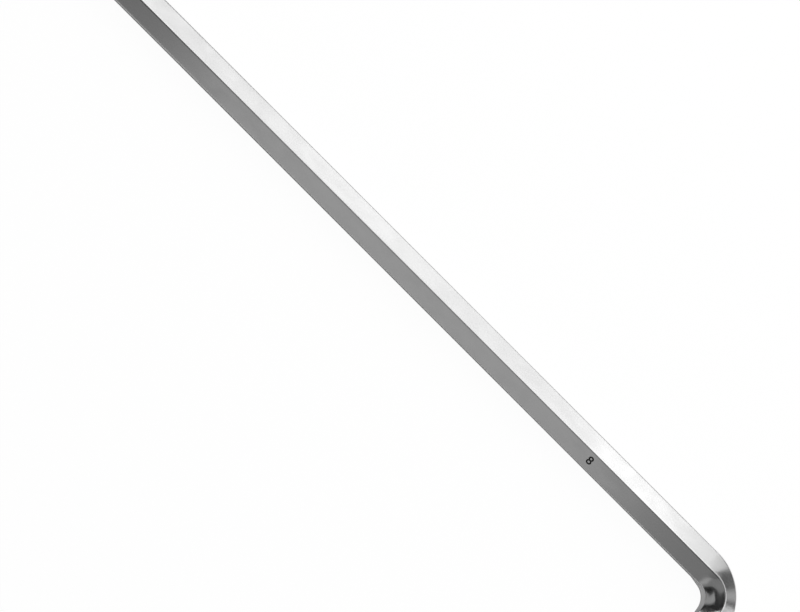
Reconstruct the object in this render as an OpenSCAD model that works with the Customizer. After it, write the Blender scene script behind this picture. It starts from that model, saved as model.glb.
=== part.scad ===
// Hex key: one bright steel bar of hexagonal section, bent square into a long and a short arm.
// It lies flat, with the plane of its bend level, on the rounded bottom edge of each arm.
// Two opposite flats of the bar are the inner and the outer side of the bend, so an edge of
// the bar runs along its top and another along its bottom.
// X runs along the long arm with the bend at +X, and the short arm points towards -Y.
// The origin is on the ground under the middle of the key's box. Sizes are in millimetres.

/* [Bar] */
// Width of the bar across its flats, which is the size of the socket screw that it turns
across_flats = 8; // [6:0.5:12]
// Radius along the bar's six drawn edges
edge_r = 0.5; // [0.2:0.05:0.8]

/* [Arms] */
// Overall length of the long arm, up to the outer flat of the short arm
long_arm = 208; // [120:1:350]
// Overall length of the short arm, up to the outer flat of the long arm
short_arm = 44; // [36:1:90]
// Depth of the turned chamfer at each end, measured on the flats
end_chamfer = 0.3; // [0.1:0.05:0.8]

/* [Bend] */
// Radius that joins the inner flats of the two arms, before the squeeze of the next lines
inner_bend_r = 4.85; // [4:0.05:12]
// How far the middle of the inner flat is squeezed out of the bar, all round the bend
inner_squeeze = 0.5; // [0:0.05:0.8]
// Length of each arm, counted from the bend, over which that squeeze dies away
squeeze_reach = 3; // [1:0.5:4]
// Length inside each end of the bend over which it grows to its whole height
squeeze_run = 1; // [0.5:0.5:2]
// How far forming moves the top and bottom edges outwards at the middle of the bend
ridge_shift = 0.95; // [0:0.05:1.5]
// How far forming lowers the top edge and raises the bottom edge there
ridge_drop = 0.15; // [0:0.05:0.4]
// How far the two edges of the inner flat are moved outwards there
inner_crown = 0.3; // [0:0.05:0.8]
// How far compression spreads each edge of the inner flat up or down there
inner_swell = 0.35; // [0:0.05:0.6]
// How far stretching draws the outer flat inwards there
outer_draw = 0.5; // [0.05:0.05:0.6]
// How far stretching narrows the outer flat at each of its edges there
outer_neck = 0.3; // [0:0.05:0.8]
// How far the facets beside the inner flat swell above a straight line there
facet_swell = 0.15; // [0:0.05:0.3]

/* [Hidden] */

// Angle between neighbouring edges of a hexagon, and from the middle of a flat to an edge
edge_pitch = 360 / 6;
half_flat_angle = edge_pitch / 2;
// Half the height of the bar as it lies, to the crown of a rounded edge
half_height = (across_flats / 2 - edge_r) / cos(half_flat_angle) + edge_r;
// Middle of the box to the axes of the two arms
long_axis_y = short_arm / 2 - across_flats / 2;
short_axis_x = long_arm / 2 - across_flats / 2;
// Radius of the bend along the axis of the bar, and the centre that it turns about
axis_bend_r = to_grid(inner_bend_r + across_flats / 2);
bend_x = short_axis_x - axis_bend_r;
bend_y = long_axis_y - axis_bend_r;
// What a fillet's radius loses for each millimetre that its middle moves outwards
fillet_gain = 1 / (sqrt(2) - 1);
// Forming shows this far along each arm: the squeeze dies away there, and the outer flat
// starts to turn before the rest of the bend
lead = to_grid(max(squeeze_reach, outer_draw * fillet_gain));
// Straight length of each arm, from its end to the start of the bend
long_straight = long_arm / 2 + bend_x - lead;
short_straight = short_arm / 2 + bend_y - lead;

// Steps round each rounded edge, across each facet, round the bend and along each lead
edge_steps = 4;
facet_steps = 4;
bend_steps = 30;
lead_steps = 6;

// The bar's six edges, numbered anticlockwise from the upper edge of the outer flat, with the
// long arm seen from the short arm's side. For each: how far forming moves it outwards, and
// how far upwards, at the middle of the bend.
EDGE_MOVES = [
    [-outer_draw, -outer_neck],
    [ridge_shift, -ridge_drop],
    [inner_crown, inner_swell],
    [inner_crown, -inner_swell],
    [ridge_shift, ridge_drop],
    [-outer_draw, outer_neck]
];

// A station is [turn, past]: an upright plane square to the bar, turned by 0 to 90 degrees
// about the bend's centre, and moved past the start of the bend (-) or its end (+).
STATIONS = concat(
    [for (i = [0 : lead_steps - 1]) [0, -lead * (1 - i / lead_steps)]],
    [for (i = [0 : bend_steps]) [90 * i / bend_steps, 0]],
    [for (i = [1 : lead_steps]) [90, lead * i / lead_steps]]
);

// A length on a grid of a tenth of a micrometre, so that the ends of the bend and of the arms,
// which are placed by different sums, meet at the very same points
function to_grid(length) = round(length * 10000) / 10000;

// Share of the forming that a station shows: none at both ends of the bend, all at its middle
function forming(st) = pow(sin(2 * st[0]), 2);

// Distance from the bend's centre, at a station, of a line that runs along both arms at the
// distance leg from that centre and turns the corner with a fillet of the given radius
function line_distance(st, leg, radius) =
    let (
        inset = leg - radius,
        past = abs(st[1]),
        away = min(st[0], 90 - st[0])
    )
    past > 0 ? (past + inset >= 0 ? leg : inset + sqrt(pow(radius, 2) - pow(past + inset, 2)))
    : tan(away) * leg < inset ? leg / cos(away)
    : inset * (sin(away) + cos(away))
        + sqrt(pow(radius, 2) - pow(inset * (cos(away) - sin(away)), 2));

// Sharp corner of the hexagon at edge k, as [outwards, up] from the bar's axis
function plain_corner(k) =
    let (angle = half_flat_angle + edge_pitch * k)
    across_flats / 2 / cos(half_flat_angle) * [cos(angle), sin(angle)];

// The same corner at a station of the formed bend, as [distance from the centre, up]
function formed_corner(k, st) =
    let (
        corner = plain_corner(k),
        leg = axis_bend_r + corner[0],
        radius = leg - EDGE_MOVES[k][0] * fillet_gain
    )
    [line_distance(st, leg, radius), corner[1] + EDGE_MOVES[k][1] * forming(st)];

// Share of the squeeze that a station shows: it grows smoothly along the arm and the first of
// the bend, and is whole from there on
function squeezed(st) =
    let (
        run = min(st[0], 90 - st[0]) * PI / 180 * inner_bend_r - abs(st[1]),
        share = max(0, min(1, (run + squeeze_reach) / (squeeze_reach + squeeze_run)))
    )
    share * share * (3 - 2 * share);

// How far the facet after each edge swells at a station. The middle of the inner flat keeps
// to its own line round the bend, whatever its edges do.
function facet_swells(st) =
    let (
        flank = facet_swell * forming(st),
        inner = formed_corner(2, st)[0] - inner_bend_r + inner_squeeze * squeezed(st)
    )
    [0, flank, inner, flank, 0, 0];

// Direction square to the facet from corner a to corner b, as an angle
function facing(a, b) = atan2(a[0] - b[0], b[1] - a[1]);

// Signed difference of two angles, from -180 to 180
function turn_between(from, to) = ((to - from) % 360 + 540) % 360 - 180;

// Rounded edge at corner b, between the facets from a and to c, as a list of points
function rounded_edge(a, b, c) =
    let (
        first = facing(a, b),
        sweep = turn_between(first, facing(b, c)),
        middle = first + sweep / 2,
        centre = b - edge_r / cos(sweep / 2) * [cos(middle), sin(middle)]
    )
    [for (i = [0 : edge_steps])
        let (angle = first + sweep * i / edge_steps)
        centre + edge_r * [cos(angle), sin(angle)]];

// Points inside the facet from point a to point b, which swells by the given amount
function facet_points(a, b, swell) =
    let (out = facing(a, b))
    [for (i = [1 : facet_steps - 1])
        let (
            share = i / facet_steps,
            bump = pow(4 * share * (1 - share), 2)
        )
        a + (b - a) * share + swell * bump * [cos(out), sin(out)]];

// The six rounded edges of an outline with the given sharp corners
function rounded_edges(corners) = [for (k = [0 : 5])
    rounded_edge(corners[(k + 5) % 6], corners[k], corners[(k + 1) % 6])];

// Plain rounded hexagon of the straight arms, as [outwards, up] from the bar's axis
function plain_outline() =
    let (edges = rounded_edges([for (k = [0 : 5]) plain_corner(k)]))
    [for (edge = edges) each [for (point = edge) [to_grid(point[0]), to_grid(point[1])]]];

// Outline of the bar at a station inside the bend, as [distance from the centre, up]
function formed_outline(st) =
    let (
        edges = rounded_edges([for (k = [0 : 5]) formed_corner(k, st)]),
        swells = facet_swells(st)
    )
    [for (k = [0 : 5]) each concat(
        edges[k],
        facet_points(edges[k][edge_steps], edges[(k + 1) % 6][0], swells[k])
    )];

// A point of a station's outline, measured from the bend's centre
function placed(point, st) = [
    point[0] * sin(st[0]) + st[1] * cos(st[0]),
    point[0] * cos(st[0]) - st[1] * sin(st[0]),
    point[1]
];

// The plain outline of an arm at a station, placed in the same way
function placed_plain(st) =
    [for (point = plain_outline()) placed(point + [axis_bend_r, 0], st)];

// Straight arm from the bend to its chamfered end, standing on its inner end along +Z
module straight_arm(length) {
    tip_r = across_flats / 2 - end_chamfer;
    reach = across_flats;
    intersection() {
        linear_extrude(length) polygon(plain_outline());
        rotate_extrude($fn = 96)
            polygon([[0, -1], [reach, -1], [reach, length - reach + tip_r], [tip_r, length], [0, length]]);
    }
}

// Formed bend: the bar's outline carried round the corner, changing shape as it goes.
// Its two ends have the plain outline of the arms, with no points inside the facets.
module formed_bend() {
    inner_stations = [for (i = [1 : len(STATIONS) - 2]) STATIONS[i]];
    start = placed_plain(STATIONS[0]);
    end = placed_plain(STATIONS[len(STATIONS) - 1]);
    rings = [for (st = inner_stations) [for (point = formed_outline(st)) placed(point, st)]];
    plain = len(start);
    count = len(rings[0]);
    first_ring = plain;
    last_ring = plain + (len(rings) - 1) * count;
    end_ring = plain + len(rings) * count;
    // Each cap is listed from inside a rounded edge, where no three neighbours are in line
    start_cap = [for (i = [1 : plain]) i % plain];
    end_cap = [for (i = [plain + 1 : -1 : 2]) end_ring + i % plain];
    sides = [for (j = [0 : len(rings) - 2], i = [0 : count - 1])
        let (here = plain + j * count, next = (i + 1) % count)
        [here + next, here + i, here + count + i, here + count + next]];
    polyhedron(
        points = concat(start, [for (ring = rings) each ring], end),
        faces = concat(
            [start_cap, end_cap],
            sides,
            joining_faces(0, first_ring, count, false),
            joining_faces(end_ring, last_ring, count, true)
        )
    );
}

// Faces between a plain outline, whose points start at index plain, and the ring of count
// points beside it, whose points start at index ring. They are turned over for the far end.
function joining_faces(plain, ring, count, turned) =
    let (
        edge = edge_steps + 1,
        side = count / 6,
        faces = [for (k = [0 : 5])
            let (
                from = plain + k * edge,
                corner = from + edge_steps,
                next = plain + (k + 1) % 6 * edge,
                beside = ring + k * side,
                beside_next = ring + (k + 1) % 6 * side
            )
            each concat(
                [for (i = [0 : edge_steps - 1])
                    [from + i + 1, from + i, beside + i, beside + i + 1]],
                [for (i = [edge_steps : side - 1])
                    [corner, beside + i, i == side - 1 ? beside_next : beside + i + 1]],
                [[next, corner, beside_next]]
            )]
    )
    [for (face = faces) turned ? [for (i = [len(face) - 1 : -1 : 0]) face[i]] : face];

module hex_key() {
    color("silver")
        translate([bend_x, bend_y, half_height]) {
            translate([-lead, axis_bend_r, 0])
                rotate([90, 0, -90]) straight_arm(long_straight);
            translate([axis_bend_r, -lead, 0])
                rotate([90, 0, 0]) straight_arm(short_straight);
            formed_bend();
        }
}

hex_key();
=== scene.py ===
"""Looks for a hex key: its plated hexagonal bar, its size mark and a plain studio round it.

Sizes are in millimetres until a mesh is made, and the mesh is in metres. The key lies as in
its CAD model: X runs along the long arm towards the bend, the short arm points towards -Y,
and the bar's upper edge runs along the top of both arms.
"""

import logging
import math
from dataclasses import dataclass, field
from enum import Enum, IntEnum

import bpy
import numpy as np
from mathutils import Matrix, Quaternion, Vector


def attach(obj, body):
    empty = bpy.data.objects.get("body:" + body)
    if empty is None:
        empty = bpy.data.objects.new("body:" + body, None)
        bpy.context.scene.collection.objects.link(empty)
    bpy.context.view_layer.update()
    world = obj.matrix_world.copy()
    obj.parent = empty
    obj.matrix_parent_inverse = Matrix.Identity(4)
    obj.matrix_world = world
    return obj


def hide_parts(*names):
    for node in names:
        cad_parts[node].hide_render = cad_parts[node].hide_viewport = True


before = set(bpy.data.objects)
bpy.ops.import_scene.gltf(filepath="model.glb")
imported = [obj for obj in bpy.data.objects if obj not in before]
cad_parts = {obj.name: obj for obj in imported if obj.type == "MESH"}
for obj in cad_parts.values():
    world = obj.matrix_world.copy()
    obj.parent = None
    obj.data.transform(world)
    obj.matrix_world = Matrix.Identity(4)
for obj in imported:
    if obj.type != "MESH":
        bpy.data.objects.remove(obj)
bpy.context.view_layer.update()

# One millimetre in metres, Blender's unit.
MM = 0.001
# The bar has this many long edges, and as many facets between them.
EDGES = 6
# Slope of the two facets beside the bar's upper edge, in degrees from level.
FACET_TILT = 30.0
# Points of the key that the soft boxes face, in millimetres.
BEND = (95.0, 10.0, 4.5)
MIDDLE = (0.0, 18.0, 4.5)
LOG = logging.getLogger("hex_key")


class Arm(Enum):
    """The two straight arms, as the sign of the way along the bar from the bend to each."""

    LONG = -1
    SHORT = 1


class Facet(IntEnum):
    """The facets that face the inside of the bend, by their number round the bar.

    Edges and facets are counted from the outer flat's upper edge over the top of the bar, and
    each facet has the number of the edge before it.
    """

    INNER_UPPER = 1
    INNER_FLAT = 2
    INNER_LOWER = 3


class Ray(Enum):
    """The kinds of ray that see the studio's plain white, by their Light Path socket."""

    CAMERA = "Is Camera Ray"
    GLOSSY = "Is Glossy Ray"
    TRANSMISSION = "Is Transmission Ray"


def linear(hex_colour: str) -> tuple[float, float, float, float]:
    """Turn an sRGB hex colour into the linear colour that a shader socket takes.

    Args:
        hex_colour: Six hex digits after a #, red first.

    Returns:
        Red, green, blue and an alpha of 1, each from 0 to 1.
    """
    parts = [int(hex_colour[i : i + 2], 16) / 255 for i in (1, 3, 5)]
    light = [c / 12.92 if c <= 0.04045 else ((c + 0.055) / 1.055) ** 2.4 for c in parts]
    return (*light, 1.0)


def add_node(
    tree: bpy.types.NodeTree,
    kind: str,
    settings: dict[str, object] | None = None,
    inputs: dict[str | int, object] | None = None,
) -> bpy.types.Node:
    """Add one node to a tree, set it up and link what feeds it.

    Args:
        tree: The node tree of a material, lamp or world.
        kind: Blender's type name of the node.
        settings: The node's own properties by name.
        inputs: Socket name or number to a value, or to the output socket that feeds it.

    Returns:
        The new node.
    """
    node = tree.nodes.new(kind)
    for name, value in (settings or {}).items():
        setattr(node, name, value)
    for key, value in (inputs or {}).items():
        if isinstance(value, bpy.types.NodeSocket):
            tree.links.new(value, node.inputs[key])
        else:
            node.inputs[key].default_value = value
    return node


def set_ramp(node: bpy.types.Node, stops: tuple[tuple[float, float], ...]) -> None:
    """Set a colour ramp's stops to greys.

    Args:
        node: A ColorRamp node.
        stops: Position and linear grey level of each stop, in order.
    """
    ramp = node.color_ramp
    while len(ramp.elements) < len(stops):
        ramp.elements.new(0.5)
    for element, (position, level) in zip(ramp.elements, stops):
        element.position = position
        element.color = (level, level, level, 1.0)


@dataclass(frozen=True)
class SatinChrome:
    """Decorative chromium plate over drawn and ground steel.

    The plate is neutral and bright. The ground steel under it keeps fine lines along the bar,
    which blur reflections a little, and the cut ends keep the fine rings of their turning.
    The plate itself is slightly wavy, and cloudy: patches a few millimetres wide are a little
    hazier and duller than the rest. The real lines and rings lie closer together than a
    picture of the whole key can show, so both are drawn as coarse as they need to show.

    Attributes:
        colour: Colour of clear plate, sRGB hex.
        dull_colour: Colour of cloudy plate, sRGB hex.
        roughness: Roughness of clear plate.
        haze: Roughness of cloudy plate.
        cloud_width: Size of a cloud across the bar in millimetres.
        cloud_length: Its size along the bar in millimetres.
        cloud_edges: Levels of the cloud noise at which the plate is clear, and cloudy.
        cloud_warp: How far the cloud noise is twisted, for ragged edges.
        line_spacing: From one ground line to the next, in millimetres.
        line_length: Length of a ground line in millimetres.
        line_depth: Depth of the lines in millimetres.
        ring_spacing: From one turned ring to the next, in millimetres.
        ring_depth: Depth of the rings in millimetres.
        wave_length: Length of the plate's waves in millimetres.
        wave_depth: Their depth in millimetres.
    """

    colour: str = "#e8e8e8"
    dull_colour: str = "#e4e4e4"
    roughness: float = 0.13
    haze: float = 0.16
    cloud_width: float = 3.0
    cloud_length: float = 5.5
    cloud_edges: tuple[float, float] = (0.3, 0.7)
    cloud_warp: float = 0.4
    line_spacing: float = 0.3
    line_length: float = 40.0
    line_depth: float = 0.0006
    ring_spacing: float = 0.25
    ring_depth: float = 0.014
    wave_length: float = 7.0
    wave_depth: float = 0.003

    def material(self) -> bpy.types.Material:
        """Make the material.

        Its patterns follow the bar through the mesh's attributes: "along_bar" is the place on
        the straightened bar in millimetres, and "turned" is 1 on the cut ends and 0 elsewhere.

        Returns:
            The finished material.
        """
        made = bpy.data.materials.new("satin_chrome")
        made.use_nodes = True
        tree = made.node_tree
        shader = tree.nodes["Principled BSDF"]
        shader.inputs["Metallic"].default_value = 1.0
        along = add_node(
            tree, "ShaderNodeAttribute", {"attribute_name": "along_bar"}
        ).outputs["Vector"]
        clouds = self.clouds(tree, along)
        dulled = add_node(
            tree, "ShaderNodeMix", {"data_type": "RGBA"},
            {"Factor": clouds, 6: linear(self.colour), 7: linear(self.dull_colour)},
        )
        hazed = add_node(
            tree, "ShaderNodeMapRange", {},
            {"Value": clouds, "To Min": self.roughness, "To Max": self.haze},
        )
        tree.links.new(dulled.outputs[2], shader.inputs["Base Color"])
        tree.links.new(hazed.outputs[0], shader.inputs["Roughness"])
        tree.links.new(self.relief(tree, along), shader.inputs["Normal"])
        return made

    @staticmethod
    def in_marks(
        tree: bpy.types.NodeTree, along: bpy.types.NodeSocket, length: float, width: float
    ) -> bpy.types.NodeSocket:
        """Count the place on the bar in marks of a pattern.

        Args:
            tree: The material's tree.
            along: Place on the straightened bar in millimetres.
            length: Size of a mark along the bar in millimetres, or infinity where the pattern
                is the same all along it.
            width: Size of a mark across the bar in millimetres.

        Returns:
            Output socket with the place, one unit a mark.
        """
        marks = (1 / length, 1 / width, 1 / width)
        return add_node(
            tree, "ShaderNodeVectorMath", {"operation": "MULTIPLY"}, {0: along, 1: marks}
        ).outputs[0]

    def clouds(
        self, tree: bpy.types.NodeTree, along: bpy.types.NodeSocket
    ) -> bpy.types.NodeSocket:
        """Draw the plate's clouds.

        Args:
            tree: The material's tree.
            along: Place on the straightened bar in millimetres.

        Returns:
            Output socket that is 0 on clear plate and 1 inside a cloud.
        """
        place = self.in_marks(tree, along, self.cloud_length, self.cloud_width)
        noise = add_node(
            tree, "ShaderNodeTexNoise", {"noise_dimensions": "3D"},
            {"Vector": place, "Scale": 1.0, "Detail": 2.0, "Distortion": self.cloud_warp},
        )
        clear, cloudy = self.cloud_edges
        return add_node(
            tree, "ShaderNodeMapRange", {},
            {"Value": noise.outputs[0], "From Min": clear, "From Max": cloudy},
        ).outputs[0]

    def tooling(
        self, tree: bpy.types.NodeTree, along: bpy.types.NodeSocket
    ) -> bpy.types.NodeSocket:
        """Draw the ground lines along the bar, and the turned rings on its cut ends.

        The rings' noise depends only on the distance from the bar's axis.

        Args:
            tree: The material's tree.
            along: Place on the straightened bar in millimetres.

        Returns:
            Output socket with the height, one unit for line_depth.
        """
        line_place = self.in_marks(tree, along, self.line_length, self.line_spacing)
        lines = add_node(
            tree, "ShaderNodeTexNoise", {"noise_dimensions": "3D"},
            {"Vector": line_place, "Scale": 1.0, "Detail": 3.0, "Roughness": 0.6},
        )
        ring_place = self.in_marks(tree, along, math.inf, self.ring_spacing)
        radius = add_node(
            tree, "ShaderNodeVectorMath", {"operation": "LENGTH"}, {0: ring_place}
        )
        rings = add_node(
            tree, "ShaderNodeTexNoise", {"noise_dimensions": "1D"},
            {"W": radius.outputs["Value"], "Scale": 1.0, "Detail": 1.0},
        )
        ring_height = add_node(
            tree, "ShaderNodeMath", {"operation": "MULTIPLY"},
            {0: rings.outputs[0], 1: self.ring_depth / self.line_depth},
        )
        turned = add_node(tree, "ShaderNodeAttribute", {"attribute_name": "turned"})
        return add_node(
            tree, "ShaderNodeMix", {"data_type": "FLOAT"},
            {0: turned.outputs["Fac"], 2: lines.outputs[0], 3: ring_height.outputs[0]},
        ).outputs[0]

    def relief(
        self, tree: bpy.types.NodeTree, along: bpy.types.NodeSocket
    ) -> bpy.types.NodeSocket:
        """Bend the surface's normal by the tooling's marks, and by the plate's waves.

        Args:
            tree: The material's tree.
            along: Place on the straightened bar in millimetres.

        Returns:
            Output socket with the normal.
        """
        marks = add_node(
            tree, "ShaderNodeBump", {},
            {
                "Height": self.tooling(tree, along), "Distance": self.line_depth * MM,
                "Strength": 1.0,
            },
        )
        waves = add_node(
            tree, "ShaderNodeTexNoise", {"noise_dimensions": "3D"},
            {"Vector": along, "Scale": 1 / self.wave_length, "Detail": 1.0},
        )
        return add_node(
            tree, "ShaderNodeBump", {},
            {
                "Height": waves.outputs[0], "Distance": self.wave_depth * MM,
                "Strength": 1.0, "Normal": marks.outputs[0],
            },
        ).outputs[0]


@dataclass(frozen=True)
class LaserMark:
    """Dark oxide left on the plate where a laser has marked it: matt and almost black.

    Attributes:
        colour: Its colour, sRGB hex.
        roughness: Its roughness.
        grain: Size of the oxide's grain in millimetres.
        grain_depth: Depth of the grain in millimetres.
    """

    colour: str = "#1d1d1e"
    roughness: float = 0.55
    grain: float = 0.15
    grain_depth: float = 0.01

    def material(self) -> bpy.types.Material:
        """Make the material.

        Returns:
            The finished material.
        """
        made = bpy.data.materials.new("laser_mark")
        made.use_nodes = True
        tree = made.node_tree
        shader = tree.nodes["Principled BSDF"]
        shader.inputs["Base Color"].default_value = linear(self.colour)
        shader.inputs["Roughness"].default_value = self.roughness
        where = add_node(tree, "ShaderNodeTexCoord")
        grain = add_node(
            tree, "ShaderNodeTexNoise", {"noise_dimensions": "3D"},
            {"Vector": where.outputs["Object"], "Scale": 1 / (self.grain * MM), "Detail": 2.0},
        )
        bump = add_node(
            tree, "ShaderNodeBump", {},
            {"Height": grain.outputs[0], "Distance": self.grain_depth * MM},
        )
        tree.links.new(bump.outputs[0], shader.inputs["Normal"])
        return made


@dataclass(frozen=True)
class BendForming:
    """How forming changes the bar's section at the middle of the bend, in millimetres.

    The squeeze is another matter: the middle of the inner flat is pushed out of the bar by the
    same amount all round the bend. It dies away over squeeze_reach along each arm, and grows
    to its whole height over squeeze_run inside each end of the bend.

    Attributes:
        inner_radius: Inside radius of the bend, before the squeeze.
        inner_squeeze: How far the middle of the inner flat is pushed out of the bar.
        squeeze_reach: Length of each arm along which the squeeze dies away.
        squeeze_run: Length inside each end of the bend along which it grows.
        ridge_shift: How far the bar's upper and lower edges move outwards.
        ridge_drop: How far each of these two sinks towards the bar's axis.
        inner_crown: How far the inner flat's two edges move outwards.
        inner_swell: How far each of these two moves away from the plane of the bend.
        outer_draw: How far the outer flat is drawn in.
        outer_neck: How far each of its two edges moves towards the plane of the bend.
        facet_swell: How far the two facets beside the inner flat swell.
    """

    inner_radius: float = 4.85
    inner_squeeze: float = 0.5
    squeeze_reach: float = 3.0
    squeeze_run: float = 1.0
    ridge_shift: float = 0.95
    ridge_drop: float = 0.15
    inner_crown: float = 0.3
    inner_swell: float = 0.35
    outer_draw: float = 0.5
    outer_neck: float = 0.3
    facet_swell: float = 0.15

    def edge_moves(self) -> np.ndarray:
        """Find how far each edge moves at the middle of the bend.

        Returns:
            Moves as [edge, (outwards, up)] in millimetres.
        """
        return np.array([
            (-self.outer_draw, -self.outer_neck),
            (self.ridge_shift, -self.ridge_drop),
            (self.inner_crown, self.inner_swell),
            (self.inner_crown, -self.inner_swell),
            (self.ridge_shift, self.ridge_drop),
            (-self.outer_draw, self.outer_neck),
        ])

    def squeezed(self, turn: np.ndarray, past: np.ndarray) -> np.ndarray:
        """Find the inner flat's squeeze at each station.

        Its share is s^2 (3 - 2 s), where s runs evenly from 0 at squeeze_reach before the bend
        to 1 at squeeze_run inside it, measured along the inner flat.

        Args:
            turn: Turn of each station in radians.
            past: Place of each station before or after the bend in millimetres.

        Returns:
            Amounts in millimetres.
        """
        run = np.minimum(turn, math.pi / 2 - turn) * self.inner_radius - np.abs(past)
        share = (run + self.squeeze_reach) / (self.squeeze_reach + self.squeeze_run)
        share = np.clip(share, 0, 1)
        return self.inner_squeeze * share**2 * (3 - 2 * share)


@dataclass
class FormedBar:
    """The hexagonal bar as one closed surface, from tip to tip through the formed bend.

    The surface is a grid. One way runs round the bar's outline: six edges rounded with true
    arcs, and the facets between them. The other way runs along the bar through stations,
    upright planes square to it: along the long arm, round the bend, along the short arm.
    "Outwards" is away from the bend's centre.

    Attributes:
        finish: The plate.
        forming: What forming does to the section in the bend.
        across_flats: Size of the hexagon, from flat to flat.
        edge_radius: Radius of the bar's long edges.
        long_arm: Length of the long arm, to the outer side of the short one.
        short_arm: Length of the short arm, to the outer side of the long one.
        end_chamfer: Depth of the turned chamfer inside the flats, at both ends.
        crease_radius: How far the roundings of the chamfer's two creases reach.
        tip_room: Length of each arm that is left to the tip's own rings.
        lead_gap: From the last of the close stations beside the bend to the next one.
        facet_guard: Share of a facet up to its first point, close beside the edge's arc so
            that the shading of the arc stays off the facet.
        facet_inset: Share of a facet up to the first of its evenly spaced points.
        face_rings: Rings on a tip's flat face, as shares of its rim.
        edge_steps: Steps round an edge's arc.
        facet_points: Evenly spaced points across a facet.
        crease_steps: Steps round a crease, an even number.
        bend_steps: Steps between stations round the bend.
        lead_steps: Steps between the close stations on each arm beside the bend.
        long_stations: Stations on the rest of the long arm.
        short_stations: Stations on the rest of the short arm.
    """

    finish: SatinChrome = field(default_factory=SatinChrome)
    forming: BendForming = field(default_factory=BendForming)
    across_flats: float = 8.0
    edge_radius: float = 0.5
    long_arm: float = 208.0
    short_arm: float = 44.0
    end_chamfer: float = 0.3
    crease_radius: float = 0.06
    tip_room: float = 2.0
    lead_gap: float = 0.5
    facet_guard: float = 0.01
    facet_inset: float = 0.08
    face_rings: tuple[float, ...] = (0.75, 0.4, 0.1)
    edge_steps: int = 8
    facet_points: int = 9
    crease_steps: int = 4
    bend_steps: int = 120
    lead_steps: int = 24
    long_stations: int = 40
    short_stations: int = 14

    def __post_init__(self) -> None:
        """Work out what follows from the driving sizes.

        The bar's axis lies at half_height above the floor, at axis_y along the long arm and
        at axis_x along the short one, and turns round centre at axis_radius. Forming reaches
        along each arm as far as lead. A fillet that turns a square corner passes it at
        1 / fillet_gain of its radius.
        """
        half = self.across_flats / 2
        rounded = (half - self.edge_radius) / math.cos(math.pi / EDGES)
        self.half_height = rounded + self.edge_radius
        self.axis_y = self.short_arm / 2 - half
        self.axis_x = self.long_arm / 2 - half
        self.axis_radius = self.forming.inner_radius + half
        self.centre = np.array([self.axis_x - self.axis_radius, self.axis_y - self.axis_radius])
        self.fillet_gain = 1 / (math.sqrt(2) - 1)
        self.lead = max(
            self.forming.squeeze_reach, self.forming.outer_draw * self.fillet_gain
        )
        self.long_straight = self.long_arm / 2 + self.centre[0]
        self.short_straight = self.short_arm / 2 + self.centre[1]

    def stations(self) -> tuple[np.ndarray, np.ndarray]:
        """Place the stations between the two tips' chamfers.

        Returns:
            The turn of each station in radians, from 0 to a right angle, and how far in
            millimetres it lies past the bend's start (-) or end (+).
        """
        leads = np.linspace(0, self.lead, self.lead_steps + 1)[1:]
        near = self.lead + self.lead_gap
        long_run = np.linspace(self.long_straight - self.tip_room, near, self.long_stations)
        short_run = np.linspace(near, self.short_straight - self.tip_room, self.short_stations)
        turns = np.linspace(0, math.pi / 2, self.bend_steps + 1)
        past = np.concatenate([-long_run, -leads[::-1], 0 * turns, leads, short_run])
        before = np.zeros(len(long_run) + len(leads))
        after = np.full(len(short_run) + len(leads), math.pi / 2)
        return np.concatenate([before, turns, after]), past

    def line_distances(self, turn: np.ndarray, past: np.ndarray) -> np.ndarray:
        """Find how far from the bend's centre each of the six edge lines lies at each station.

        Each line runs along both arms at its own distance, leg, from the centre, and turns
        the corner with a fillet whose radius is leg less the shift times 1 / (sqrt 2 - 1), so
        the middle of the fillet lies further out by just that shift. Where a station's plane
        cuts the straight leg the distance is leg / cos(turn), and on the fillet it is
        inset (sin + cos) + sqrt(radius^2 - inset^2 (cos - sin)^2), with inset = leg - radius.

        Args:
            turn: Turn of each station.
            past: Place of each station before or after the bend.

        Returns:
            Distances in millimetres, one row a station and one column an edge.
        """
        corner = self.plain_corners()[:, 0]
        leg = (self.axis_radius + corner)[None, :]
        radius = leg - self.forming.edge_moves()[:, 0][None, :] * self.fillet_gain
        inset = leg - radius
        away = np.minimum(turn, math.pi / 2 - turn)[:, None]
        off = np.abs(past)[:, None]
        on_leg = inset + np.sqrt(np.maximum(radius**2 - np.minimum(off + inset, 0) ** 2, 0))
        straight = np.where(off + inset >= 0, leg, on_leg)
        root = radius**2 - (inset * (np.cos(away) - np.sin(away))) ** 2
        fillet = inset * (np.sin(away) + np.cos(away)) + np.sqrt(np.maximum(root, 0))
        turned = np.where(np.tan(away) * leg < inset, leg / np.cos(away), fillet)
        return np.where(off > 0, straight, turned)

    def plain_corners(self) -> np.ndarray:
        """Place the plain hexagon's sharp corners, one every 60 degrees from 30 degrees up.

        Returns:
            Corners as [edge, (outwards, up)] from the bar's axis, in millimetres.
        """
        angle = np.radians(30 + 60 * np.arange(EDGES))
        reach = self.across_flats / 2 / math.cos(math.pi / EDGES)
        return reach * np.stack([np.cos(angle), np.sin(angle)], axis=1)

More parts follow.
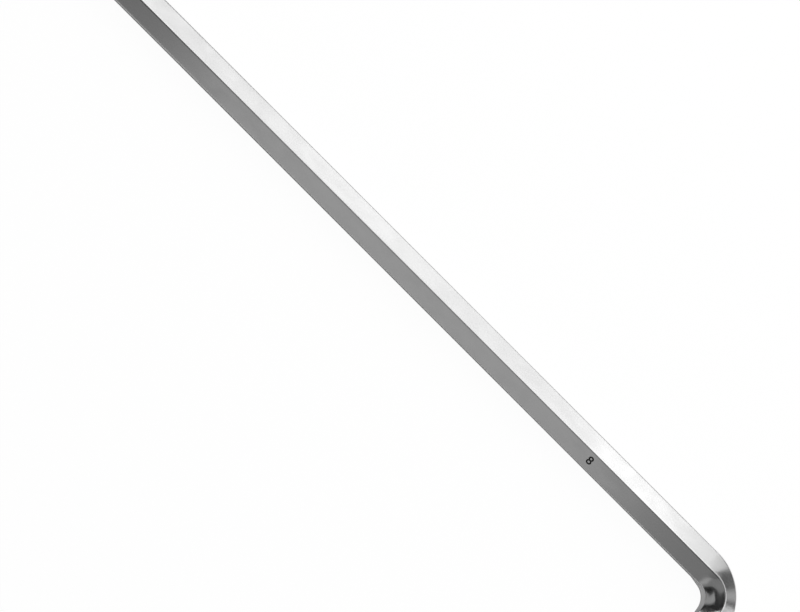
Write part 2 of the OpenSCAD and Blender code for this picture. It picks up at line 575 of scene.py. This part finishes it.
    def outlines(self, corners: np.ndarray, swells: np.ndarray) -> np.ndarray:
        """Round the corners of many outlines and fill in the facets between them.

        Each corner becomes an arc that touches both facets: its centre lies back along the
        corner's bisector by edge_radius / cos(half the turn). A facet's points run straight
        from arc to arc, and swell outwards by swell (4 f (1 - f))^2 at the share f of its way.

        Args:
            corners: Sharp corners as [station, edge, (distance, up)].
            swells: Swell of the facet after each edge, as [station, edge].

        Returns:
            Outline points as [station, point, (distance, up)].
        """
        after = np.roll(corners, -1, axis=1) - corners
        facing = np.arctan2(-after[..., 0], after[..., 1])
        first = np.roll(facing, 1, axis=1)
        sweep = (facing - first + math.pi) % (2 * math.pi) - math.pi
        middle = first + sweep / 2
        back = (self.edge_radius / np.cos(sweep / 2))[..., None]
        centre = corners - back * np.stack([np.cos(middle), np.sin(middle)], axis=-1)
        share = np.linspace(0, 1, self.edge_steps + 1)
        angle = first[..., None] + sweep[..., None] * share
        arc = np.stack([np.cos(angle), np.sin(angle)], axis=-1) * self.edge_radius
        arcs = centre[..., None, :] + arc
        start = arcs[:, :, -1, None, :]
        end = np.roll(arcs[:, :, 0], -1, axis=1)[:, :, None, :]
        inner = np.linspace(self.facet_inset, 1 - self.facet_inset, self.facet_points)
        place = np.concatenate([[self.facet_guard], inner, [1 - self.facet_guard]])[:, None]
        bump = (4 * place * (1 - place)) ** 2 * swells[..., None, None]
        out = np.stack([np.cos(facing), np.sin(facing)], axis=-1)[:, :, None, :]
        facets = start + (end - start) * place + out * bump
        sides = np.concatenate([arcs, facets], axis=2)
        return sides.reshape(len(corners), -1, 2)

    def place(self, outline: np.ndarray, turn: np.ndarray, past: np.ndarray) -> np.ndarray:
        """Carry outlines to their stations in the key's frame.

        Args:
            outline: Points as [station, point, (distance, up)].
            turn: Turn of each station, or of each point.
            past: Place of each station, or of each point.

        Returns:
            Points as [station, point, (x, y, z)] in millimetres.
        """
        turn, past = (a if a.ndim == 2 else a[:, None] for a in (turn, past))
        away, up = outline[..., 0], outline[..., 1]
        x = self.centre[0] + away * np.sin(turn) + past * np.cos(turn)
        y = self.centre[1] + away * np.cos(turn) - past * np.sin(turn)
        return np.stack([x, y, up + self.half_height], axis=-1)

    def tip(self, arm: Arm) -> tuple[np.ndarray, np.ndarray]:
        """Shape one arm's end: the turned chamfer and the flat face inside it.

        Along each line of the outline the profile runs up the arm to where the chamfer's cone
        meets it, down the cone at 45 degrees to the flat face's rim, and in to the middle.
        Both creases are rounded by quadratic curves whose ends lie crease_radius away.

        Args:
            arm: Which arm's end to make.

        Returns:
            Rings of points from the arm to the middle of the face, without the last middle
            point, and the same points in the straightened bar's coordinates.
        """
        length = self.long_straight if arm is Arm.LONG else self.short_straight
        plain = self.outlines(self.plain_corners()[None], np.zeros((1, EDGES)))[0]
        reach = np.hypot(plain[:, 0], plain[:, 1])
        rim = self.across_flats / 2 - self.end_chamfer
        crease = np.stack([length - (reach - rim), reach], axis=1)
        edge = np.stack([np.full_like(reach, length), np.full_like(reach, rim)], axis=1)
        step = self.crease_radius * np.array([1.0, 0.0])
        slope = self.crease_radius * np.array([1.0, -1.0]) / math.sqrt(2)
        inward = self.crease_radius * np.array([0.0, -1.0])
        share = np.linspace(0, 1, self.crease_steps + 1)[:, None, None]

        def curve(a: np.ndarray, b: np.ndarray, c: np.ndarray) -> np.ndarray:
            """Quadratic curve from a to c, drawn towards b."""
            return (1 - share) ** 2 * a + 2 * share * (1 - share) * b + share**2 * c

        rings = np.concatenate([
            (crease - 2 * step)[None],
            curve(crease - step, crease, crease + slope),
            (crease + 2 * slope)[None],
            (edge - 2 * slope)[None],
            curve(edge - slope, edge, edge + inward),
            (edge + 2 * inward)[None],
            *[edge[None] * [1, ring] for ring in self.face_rings],
        ])
        ray = (plain / reach[:, None])[None]
        section = rings[..., 1:] * ray
        past = rings[..., 0] * arm.value
        turn = np.zeros_like(past) if arm is Arm.LONG else np.full_like(past, math.pi / 2)
        points = self.place(section + [self.axis_radius, 0], turn, past)
        run = past if arm is Arm.LONG else past + self.axis_radius * math.pi / 2
        return points, np.concatenate([run[..., None], section], axis=-1)

    def surface(self) -> tuple[np.ndarray, np.ndarray, np.ndarray]:
        """Work out the whole grid of points, from the long arm's end to the short arm's.

        Forming grows from nothing at both ends of the bend to its whole at the middle, as
        sin(2 turn)^2. The inner flat swells from its edges back to the bend's inside radius,
        and by the squeeze besides.

        Returns:
            Points in the key's frame and in the straightened bar's coordinates, both as
            [ring, point, 3] in millimetres, and 1 for each turned ring, 0 for the others.
        """
        turn, past = self.stations()
        forming = np.sin(2 * turn) ** 2
        lift = self.plain_corners()[:, 1] + forming[:, None] * self.forming.edge_moves()[:, 1]
        corners = np.stack([self.line_distances(turn, past), lift], axis=-1)
        swells = np.zeros((len(turn), EDGES))
        beside = [Facet.INNER_UPPER, Facet.INNER_LOWER]
        swells[:, beside] = self.forming.facet_swell * forming[:, None]
        gap = corners[:, Facet.INNER_FLAT, 0] - self.forming.inner_radius
        swells[:, Facet.INNER_FLAT] = gap + self.forming.squeezed(turn, past)
        body = self.place(self.outlines(corners, swells), turn, past)
        plain = self.outlines(self.plain_corners()[None], np.zeros((1, EDGES)))
        run = past + self.axis_radius * turn
        flat = np.concatenate([
            np.broadcast_to(run[:, None, None], (len(run), plain.shape[1], 1)),
            np.broadcast_to(plain, (len(run), *plain.shape[1:])),
        ], axis=-1)
        long_tip, long_flat = self.tip(Arm.LONG)
        short_tip, short_flat = self.tip(Arm.SHORT)
        points = np.concatenate([long_tip[::-1], body, short_tip])
        straightened = np.concatenate([long_flat[::-1], flat, short_flat])
        crease_middle = 1 + self.crease_steps // 2
        cut = (np.arange(len(short_tip)) > crease_middle).astype(np.float32)
        turned = np.concatenate([cut[::-1], np.zeros(len(body), np.float32), cut])
        return points, straightened, turned

    @staticmethod
    def faces(rings: int, count: int) -> list[list[int]]:
        """Join the grid's points: a quad between neighbours, and a fan over each end.

        Args:
            rings: Number of rings along the bar.
            count: Number of points round it.

        Returns:
            Each face's corners, as numbers of points. The middles of the two ends are the
            last two points.
        """
        ring = np.arange(count)
        after = np.roll(ring, -1)
        start = (np.arange(rings - 1) * count)[:, None]
        here, beside = start + ring, start + after
        quads = np.stack([here, here + count, beside + count, beside], axis=-1).reshape(-1, 4)
        first, last = rings * count, rings * count + 1
        top = (rings - 1) * count
        start_fan = np.stack([np.full(count, first), ring, after], axis=-1)
        end_fan = np.stack([np.full(count, last), top + after, top + ring], axis=-1)
        return quads.tolist() + start_fan.tolist() + end_fan.tolist()

    def build(self) -> bpy.types.Object:
        """Make the bar's mesh, with both ends closed, and dress it.

        Returns:
            The bar, which replaces the CAD node.
        """
        points, straightened, turned = self.surface()
        rings, count = points.shape[:2]
        faces = self.faces(rings, count)
        ends = points[[0, -1]].mean(axis=1)
        flat_ends = straightened[[0, -1]].mean(axis=1)
        verts = np.concatenate([points.reshape(-1, 3), ends]) * MM
        unbent = np.concatenate([straightened.reshape(-1, 3), flat_ends])
        mesh = bpy.data.meshes.new("plated_bar")
        mesh.from_pydata(verts.tolist(), [], faces)
        mesh.shade_smooth()
        along = mesh.attributes.new("along_bar", "FLOAT_VECTOR", "POINT")
        along.data.foreach_set("vector", unbent.astype(np.float32).ravel())
        cut = mesh.attributes.new("turned", "FLOAT", "POINT")
        cut.data.foreach_set("value", np.append(np.repeat(turned, count), [1, 1]))
        mesh.materials.append(self.finish.material())
        mesh.validate()
        bar = bpy.data.objects.new("plated_bar", mesh)
        bpy.context.collection.objects.link(bar)
        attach(bar, "root")
        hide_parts("hex_key")
        LOG.info("plated_bar: %d points, %d faces", len(verts), len(faces))
        return bar


@dataclass
class SizeMark:
    """The key's size, marked on the inner upper facet of the long arm near the bend.

    Attributes:
        bar: The bar that carries the mark.
        finish: What the mark is made of.
        words: What it says.
        letter_height: Height of its letters in millimetres.
        cap_share: Height of a letter as a share of the font's size.
        from_bend_end: From the key's end on the bend's side to the mark's middle.
        proud: How far the mark stands out of the facet, and how deep it sits in it.
        weight: How far each stroke is widened to both sides.
    """

    bar: FormedBar
    finish: LaserMark = field(default_factory=LaserMark)
    words: str = "8"
    letter_height: float = 2.1
    cap_share: float = 0.7
    from_bend_end: float = 49.4
    proud: float = 0.006
    weight: float = 0.05

    def build(self) -> bpy.types.Object:
        """Draw the mark as a thin closed plate of letters that lies in the facet.

        Returns:
            The mark.
        """
        curve = bpy.data.curves.new("size_mark_outline", "FONT")
        curve.body = self.words
        curve.align_x = "CENTER"
        curve.align_y = "CENTER"
        curve.size = self.letter_height / self.cap_share
        curve.extrude = self.proud
        curve.offset = self.weight
        drawn = bpy.data.objects.new("size_mark_outline", curve)
        bpy.context.collection.objects.link(drawn)
        mesh = bpy.data.meshes.new_from_object(drawn)
        bpy.data.objects.remove(drawn)
        flat = np.empty(len(mesh.vertices) * 3)
        mesh.vertices.foreach_get("co", flat)
        flat = flat.reshape(-1, 3)
        tilt = math.radians(FACET_TILT)
        up_facet = np.array([0, math.cos(tilt), math.sin(tilt)])
        out_facet = np.array([0, -math.sin(tilt), math.cos(tilt)])
        middle = np.array([
            self.bar.long_arm / 2 - self.from_bend_end, self.bar.axis_y, self.bar.half_height
        ]) + out_facet * self.bar.across_flats / 2
        placed = (
            middle + flat[:, :1] * [1, 0, 0] + flat[:, 1:2] * up_facet + flat[:, 2:] * out_facet
        )
        mesh.vertices.foreach_set("co", (placed * MM).ravel())
        mesh.materials.clear()
        mesh.materials.append(self.finish.material())
        mesh.update()
        mark = bpy.data.objects.new("size_mark", mesh)
        bpy.context.collection.objects.link(mark)
        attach(mark, "root")
        LOG.info("size_mark: %d points", len(flat))
        return mark


@dataclass(frozen=True)
class SoftBox:
    """One soft lamp, aimed at a point of the key.

    Attributes:
        name: Name of the lamp.
        azimuth: Way to the lamp from the key, in degrees from +X towards +Y.
        elevation: Height of the lamp above the floor, in degrees.
        distance: Distance to the lamp in millimetres.
        width: Level width in millimetres.
        height: Other width in millimetres.
        level: Radiance that a reflection of it shows.
        roll: Turn about the way to it, in degrees.
        aim: Point in the key's frame that it faces, in millimetres.
    """

    name: str
    azimuth: float
    elevation: float
    distance: float
    width: float
    height: float
    level: float
    roll: float = 0.0
    aim: tuple[float, float, float] = BEND

    def build(self) -> None:
        """Add the lamp. A lamp of area A and power P shows a radiance of P / (pi A)."""
        lamp = bpy.data.lights.new(self.name, "AREA")
        lamp.shape = "RECTANGLE"
        lamp.size = self.width * MM
        lamp.size_y = self.height * MM
        lamp.energy = self.level * math.pi * lamp.size * lamp.size_y
        a, e = math.radians(self.azimuth), math.radians(self.elevation)
        way = Vector((math.cos(a) * math.cos(e), math.sin(a) * math.cos(e), math.sin(e)))
        holder = bpy.data.objects.new(self.name, lamp)
        bpy.context.collection.objects.link(holder)
        holder.location = (Vector(self.aim) + way * self.distance) * MM
        holder.rotation_mode = "QUATERNION"
        roll = Quaternion((0, 0, 1), math.radians(self.roll))
        holder.rotation_quaternion = way.to_track_quat("Z", "Y") @ roll


@dataclass
class Studio:
    """A white floor, soft boxes on all sides and a dim room above them.

    Attributes:
        floor_size: Side of the square floor in millimetres.
        floor_drop: How far it lies under the key, so that their faces never meet.
        paper: Colour of the floor's paper, sRGB hex.
        floor_white: How much of the floor's own white the camera sees. The rest is lit paper,
            which shows the shadow.
        floor_glint: How much of it the key reflects.
        floor_glow: Strength of that white, a little over 1 to make up for the lit paper.
        room: Grey levels of the room as (height, level), where height is the sine of the
            angle above level: 0 at the floor's far edge and 1 straight up.
        boxes: The lamps.
    """

    floor_size: float = 6000.0
    floor_drop: float = 0.02
    paper: str = "#f4f4f4"
    floor_white: float = 0.93
    floor_glint: float = 0.05
    floor_glow: float = 1.035
    room: tuple[tuple[float, float], ...] = (
        (0.0, 0.008), (0.06, 0.14), (0.12, 0.116), (0.2, 0.107), (0.3, 0.1),
        (0.45, 0.17), (0.6, 0), (0.8, 0.023), (0.92, 0.057), (1.0, 0.127),
    )
    boxes: tuple[SoftBox, ...] = (
        SoftBox("key_box", 108.1, 53.2, 500, 356, 584, 0.965, -11, (23, 18, 4.5)),
        SoftBox("right_box", 52.4, 36.8, 500, 642, 446, 0.6, 24),
        SoftBox("high_box", 8.5, 61, 500, 283, 176, 1.16, 32),
        SoftBox("low_box", -9.8, 6.8, 600, 1020, 210, 0.46, 5),
        SoftBox("edge_box", 95, 9.7, 600, 295, 200, 1.0, 30),
        SoftBox("fill_box", 268.6, 40, 420, 151, 650, 0.19, -2, (7, 18, 4.5)),
        SoftBox("left_strip", 244.3, 22.9, 600, 895, 181, 0.13, 34),
        SoftBox("top_strip", 215.0, 37.0, 500, 88, 249, 0.32, -18),
        SoftBox("top_box", 188.4, 40.1, 500, 147, 21, 0.1, 7),
        SoftBox("back_box", 145, 40, 600, 620, 420, 0.95, 0, MIDDLE),
        SoftBox("front_box", 332, 36, 600, 560, 360, 0.5),
    )

    def white_for(self, tree: bpy.types.NodeTree) -> bpy.types.NodeSocket:
        """Find how much of the plain white a ray sees on the floor.

        Args:
            tree: Tree of the floor's material.

        Returns:
            Output socket with that amount: floor_white for camera rays, and floor_glint for
            glossy and transmission rays, which come from the key itself.
        """
        path = add_node(tree, "ShaderNodeLightPath")
        total = add_node(
            tree, "ShaderNodeMath", {"operation": "MULTIPLY"},
            {0: path.outputs[Ray.CAMERA.value], 1: self.floor_white},
        ).outputs[0]
        for ray in (Ray.GLOSSY, Ray.TRANSMISSION):
            total = add_node(
                tree, "ShaderNodeMath", {"operation": "MULTIPLY_ADD"},
                {0: path.outputs[ray.value], 1: self.floor_glint, 2: total},
            ).outputs[0]
        return total

    def build_floor(self) -> None:
        """Lay the floor: white paper that still takes the key's soft shadow."""
        half = self.floor_size / 2 * MM
        mesh = bpy.data.meshes.new("paper_floor")
        drop = self.floor_drop * MM
        sides = ((-1, -1), (1, -1), (1, 1), (-1, 1))
        corners = [(x * half, y * half, -drop) for x, y in sides]
        mesh.from_pydata(corners, [], [(0, 1, 2, 3)])
        paper = bpy.data.materials.new("white_paper")
        paper.use_nodes = True
        tree = paper.node_tree
        tree.nodes.clear()
        diffuse = add_node(tree, "ShaderNodeBsdfDiffuse", {}, {"Color": linear(self.paper)})
        glow = add_node(
            tree, "ShaderNodeEmission", {}, {"Color": (1, 1, 1, 1), "Strength": self.floor_glow}
        )
        mix = add_node(
            tree, "ShaderNodeMixShader", {},
            {0: self.white_for(tree), 1: diffuse.outputs[0], 2: glow.outputs[0]},
        )
        add_node(tree, "ShaderNodeOutputMaterial", {}, {"Surface": mix.outputs[0]})
        mesh.materials.append(paper)
        floor = bpy.data.objects.new("paper_floor", mesh)
        bpy.context.collection.objects.link(floor)

    def build_room(self) -> None:
        """Light the room: dim overhead, and plain white where the camera sees past the floor."""
        world = bpy.data.worlds.new("studio_room")
        bpy.context.scene.world = world
        world.use_nodes = True
        tree = world.node_tree
        tree.nodes.clear()
        where = add_node(tree, "ShaderNodeTexCoord")
        parts = add_node(tree, "ShaderNodeSeparateXYZ", {}, {0: where.outputs["Generated"]})
        grey = add_node(tree, "ShaderNodeValToRGB", {}, {"Fac": parts.outputs["Z"]})
        set_ramp(grey, self.room)
        path = add_node(tree, "ShaderNodeLightPath")
        mix = add_node(
            tree, "ShaderNodeMix", {"data_type": "RGBA"},
            {"Factor": path.outputs[Ray.CAMERA.value], 6: grey.outputs[0], 7: (1, 1, 1, 1)},
        )
        back = add_node(tree, "ShaderNodeBackground", {}, {"Color": mix.outputs[2]})
        add_node(tree, "ShaderNodeOutputWorld", {}, {"Surface": back.outputs[0]})

    def build(self) -> None:
        """Make the floor, the room and the lamps."""
        self.build_floor()
        self.build_room()
        for box in self.boxes:
            box.build()
        bpy.context.scene.view_settings.view_transform = "Standard"
        LOG.info("studio: %d soft boxes", len(self.boxes))


@dataclass
class PhotoCamera:
    """A long lens that looks down on the key at the photograph's angle and framing.

    Attributes:
        tilt: Lean of the view from straight down towards the short arm's end, in degrees.
        frame_width: Width of the view at the key, in millimetres.
        target: Point at the middle of the view, in millimetres.
        distance: From the camera to that point, in millimetres.
        sensor: Width of the camera's sensor in millimetres.
        nearest: Distance from which things are drawn, in millimetres.
        farthest: Distance up to which they are drawn, in millimetres.
    """

    tilt: float = 3.7
    frame_width: float = 181.3
    target: tuple[float, float, float] = (-0.565, 10.65, 4.54)
    distance: float = 6000.0
    sensor: float = 36.0
    nearest: float = 100.0
    farthest: float = 20000.0

    def build(self) -> bpy.types.Object:
        """Add the camera and make it the scene's own.

        Returns:
            The camera.
        """
        lean = math.radians(self.tilt)
        back = Vector((0, -math.sin(lean), math.cos(lean)))
        along = Vector((1, 0, 0))
        outward = back.cross(along)
        right = (along + outward).normalized()
        up = back.cross(right)
        lens = bpy.data.cameras.new("photo_camera")
        lens.sensor_width = self.sensor
        lens.lens = self.sensor * self.distance / self.frame_width
        lens.clip_start = self.nearest * MM
        lens.clip_end = self.farthest * MM
        camera = bpy.data.objects.new("photo_camera", lens)
        bpy.context.collection.objects.link(camera)
        turn = Matrix((right, up, back)).transposed().to_4x4()
        place = Matrix.Translation((Vector(self.target) + back * self.distance) * MM)
        camera.matrix_world = place @ turn
        bpy.context.scene.camera = camera
        return camera


def main() -> None:
    """Build the camera, the key and the studio, and report each."""
    logging.basicConfig(level=logging.INFO, format="%(message)s")
    PhotoCamera().build()
    bar = FormedBar()
    bar.build()
    SizeMark(bar).build()
    Studio().build()


if __name__ == "__main__":
    main()
